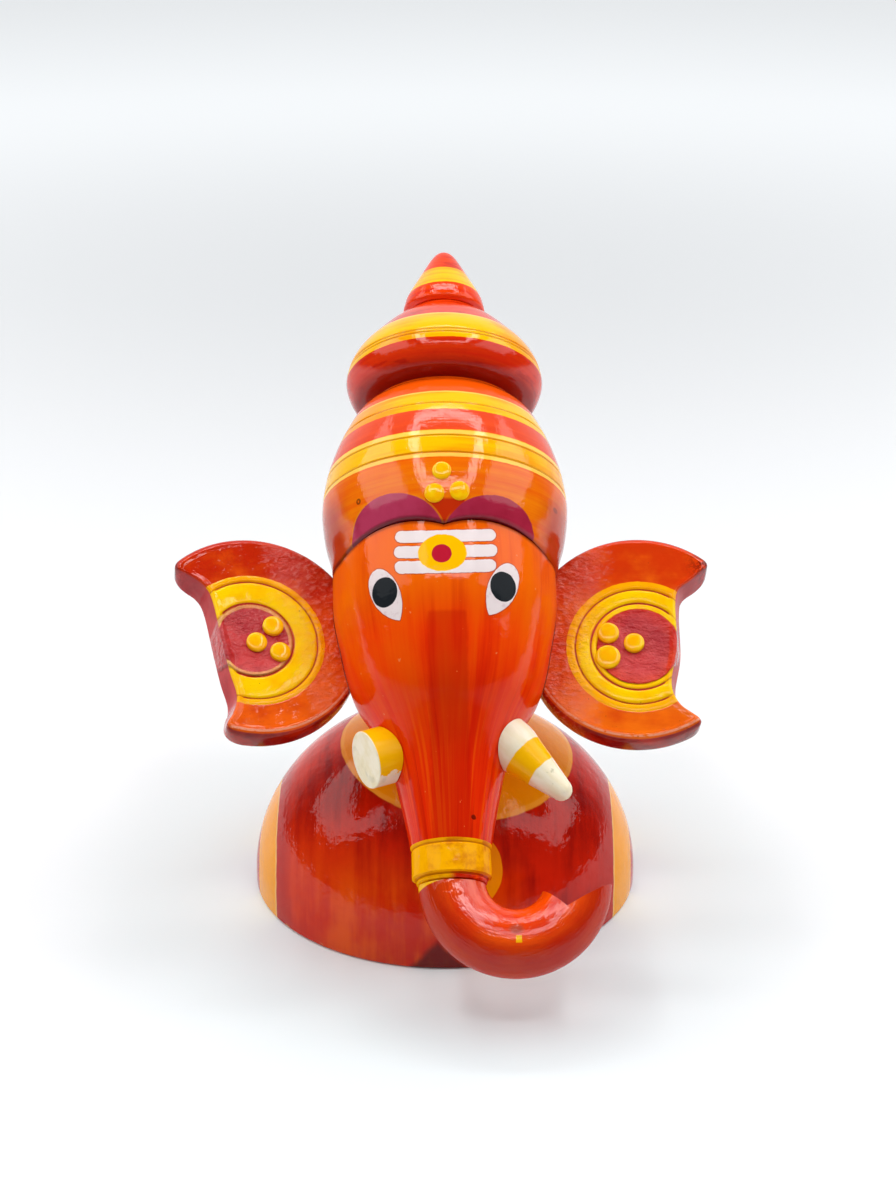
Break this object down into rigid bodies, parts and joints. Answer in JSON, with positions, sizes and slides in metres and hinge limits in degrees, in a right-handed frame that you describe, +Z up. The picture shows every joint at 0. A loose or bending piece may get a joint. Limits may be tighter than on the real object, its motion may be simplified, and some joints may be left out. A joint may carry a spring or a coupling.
{
  "type": "ganesha figure",
  "caption": "Ganesha bust turned from lacquered wood: a dome for a body, a leaning elephant head with a curled trunk, bitten disc ears, tusks and a tiered pointed crown.",
  "frame": {"origin": "on the flat underside of the body dome, under the middle of the dome", "axes": "+Z up, -Y to the figure's front, +X to the viewer's right; the trunk curls to +X"},
  "size_m": [0.1198, 0.125, 0.1336],
  "materials": {
    "dome_lacquer": "glossy red and maroon lacquer, turned, with painted yellow areas",
    "head_lacquer": "glossy orange-red lacquer, turned, with a painted face",
    "crown_lacquer": "glossy orange-red lacquer with turned yellow bands",
    "ear_lacquer": "glossy orange-red lacquer with turned yellow rings, sawn edges painted maroon",
    "tusk_wood": "bare and cream-lacquered wood, stained yellow in places"
  },
  "bodies": {
    "root": {"body_dome": "dome_lacquer", "head_trunk": "head_lacquer", "trunk_curl": "head_lacquer", "crown": "crown_lacquer", "ear_left": "ear_lacquer", "ear_right": "ear_lacquer", "tusk_whole": "tusk_wood", "tusk_broken": "tusk_wood"}
  },
  "joints": []
}
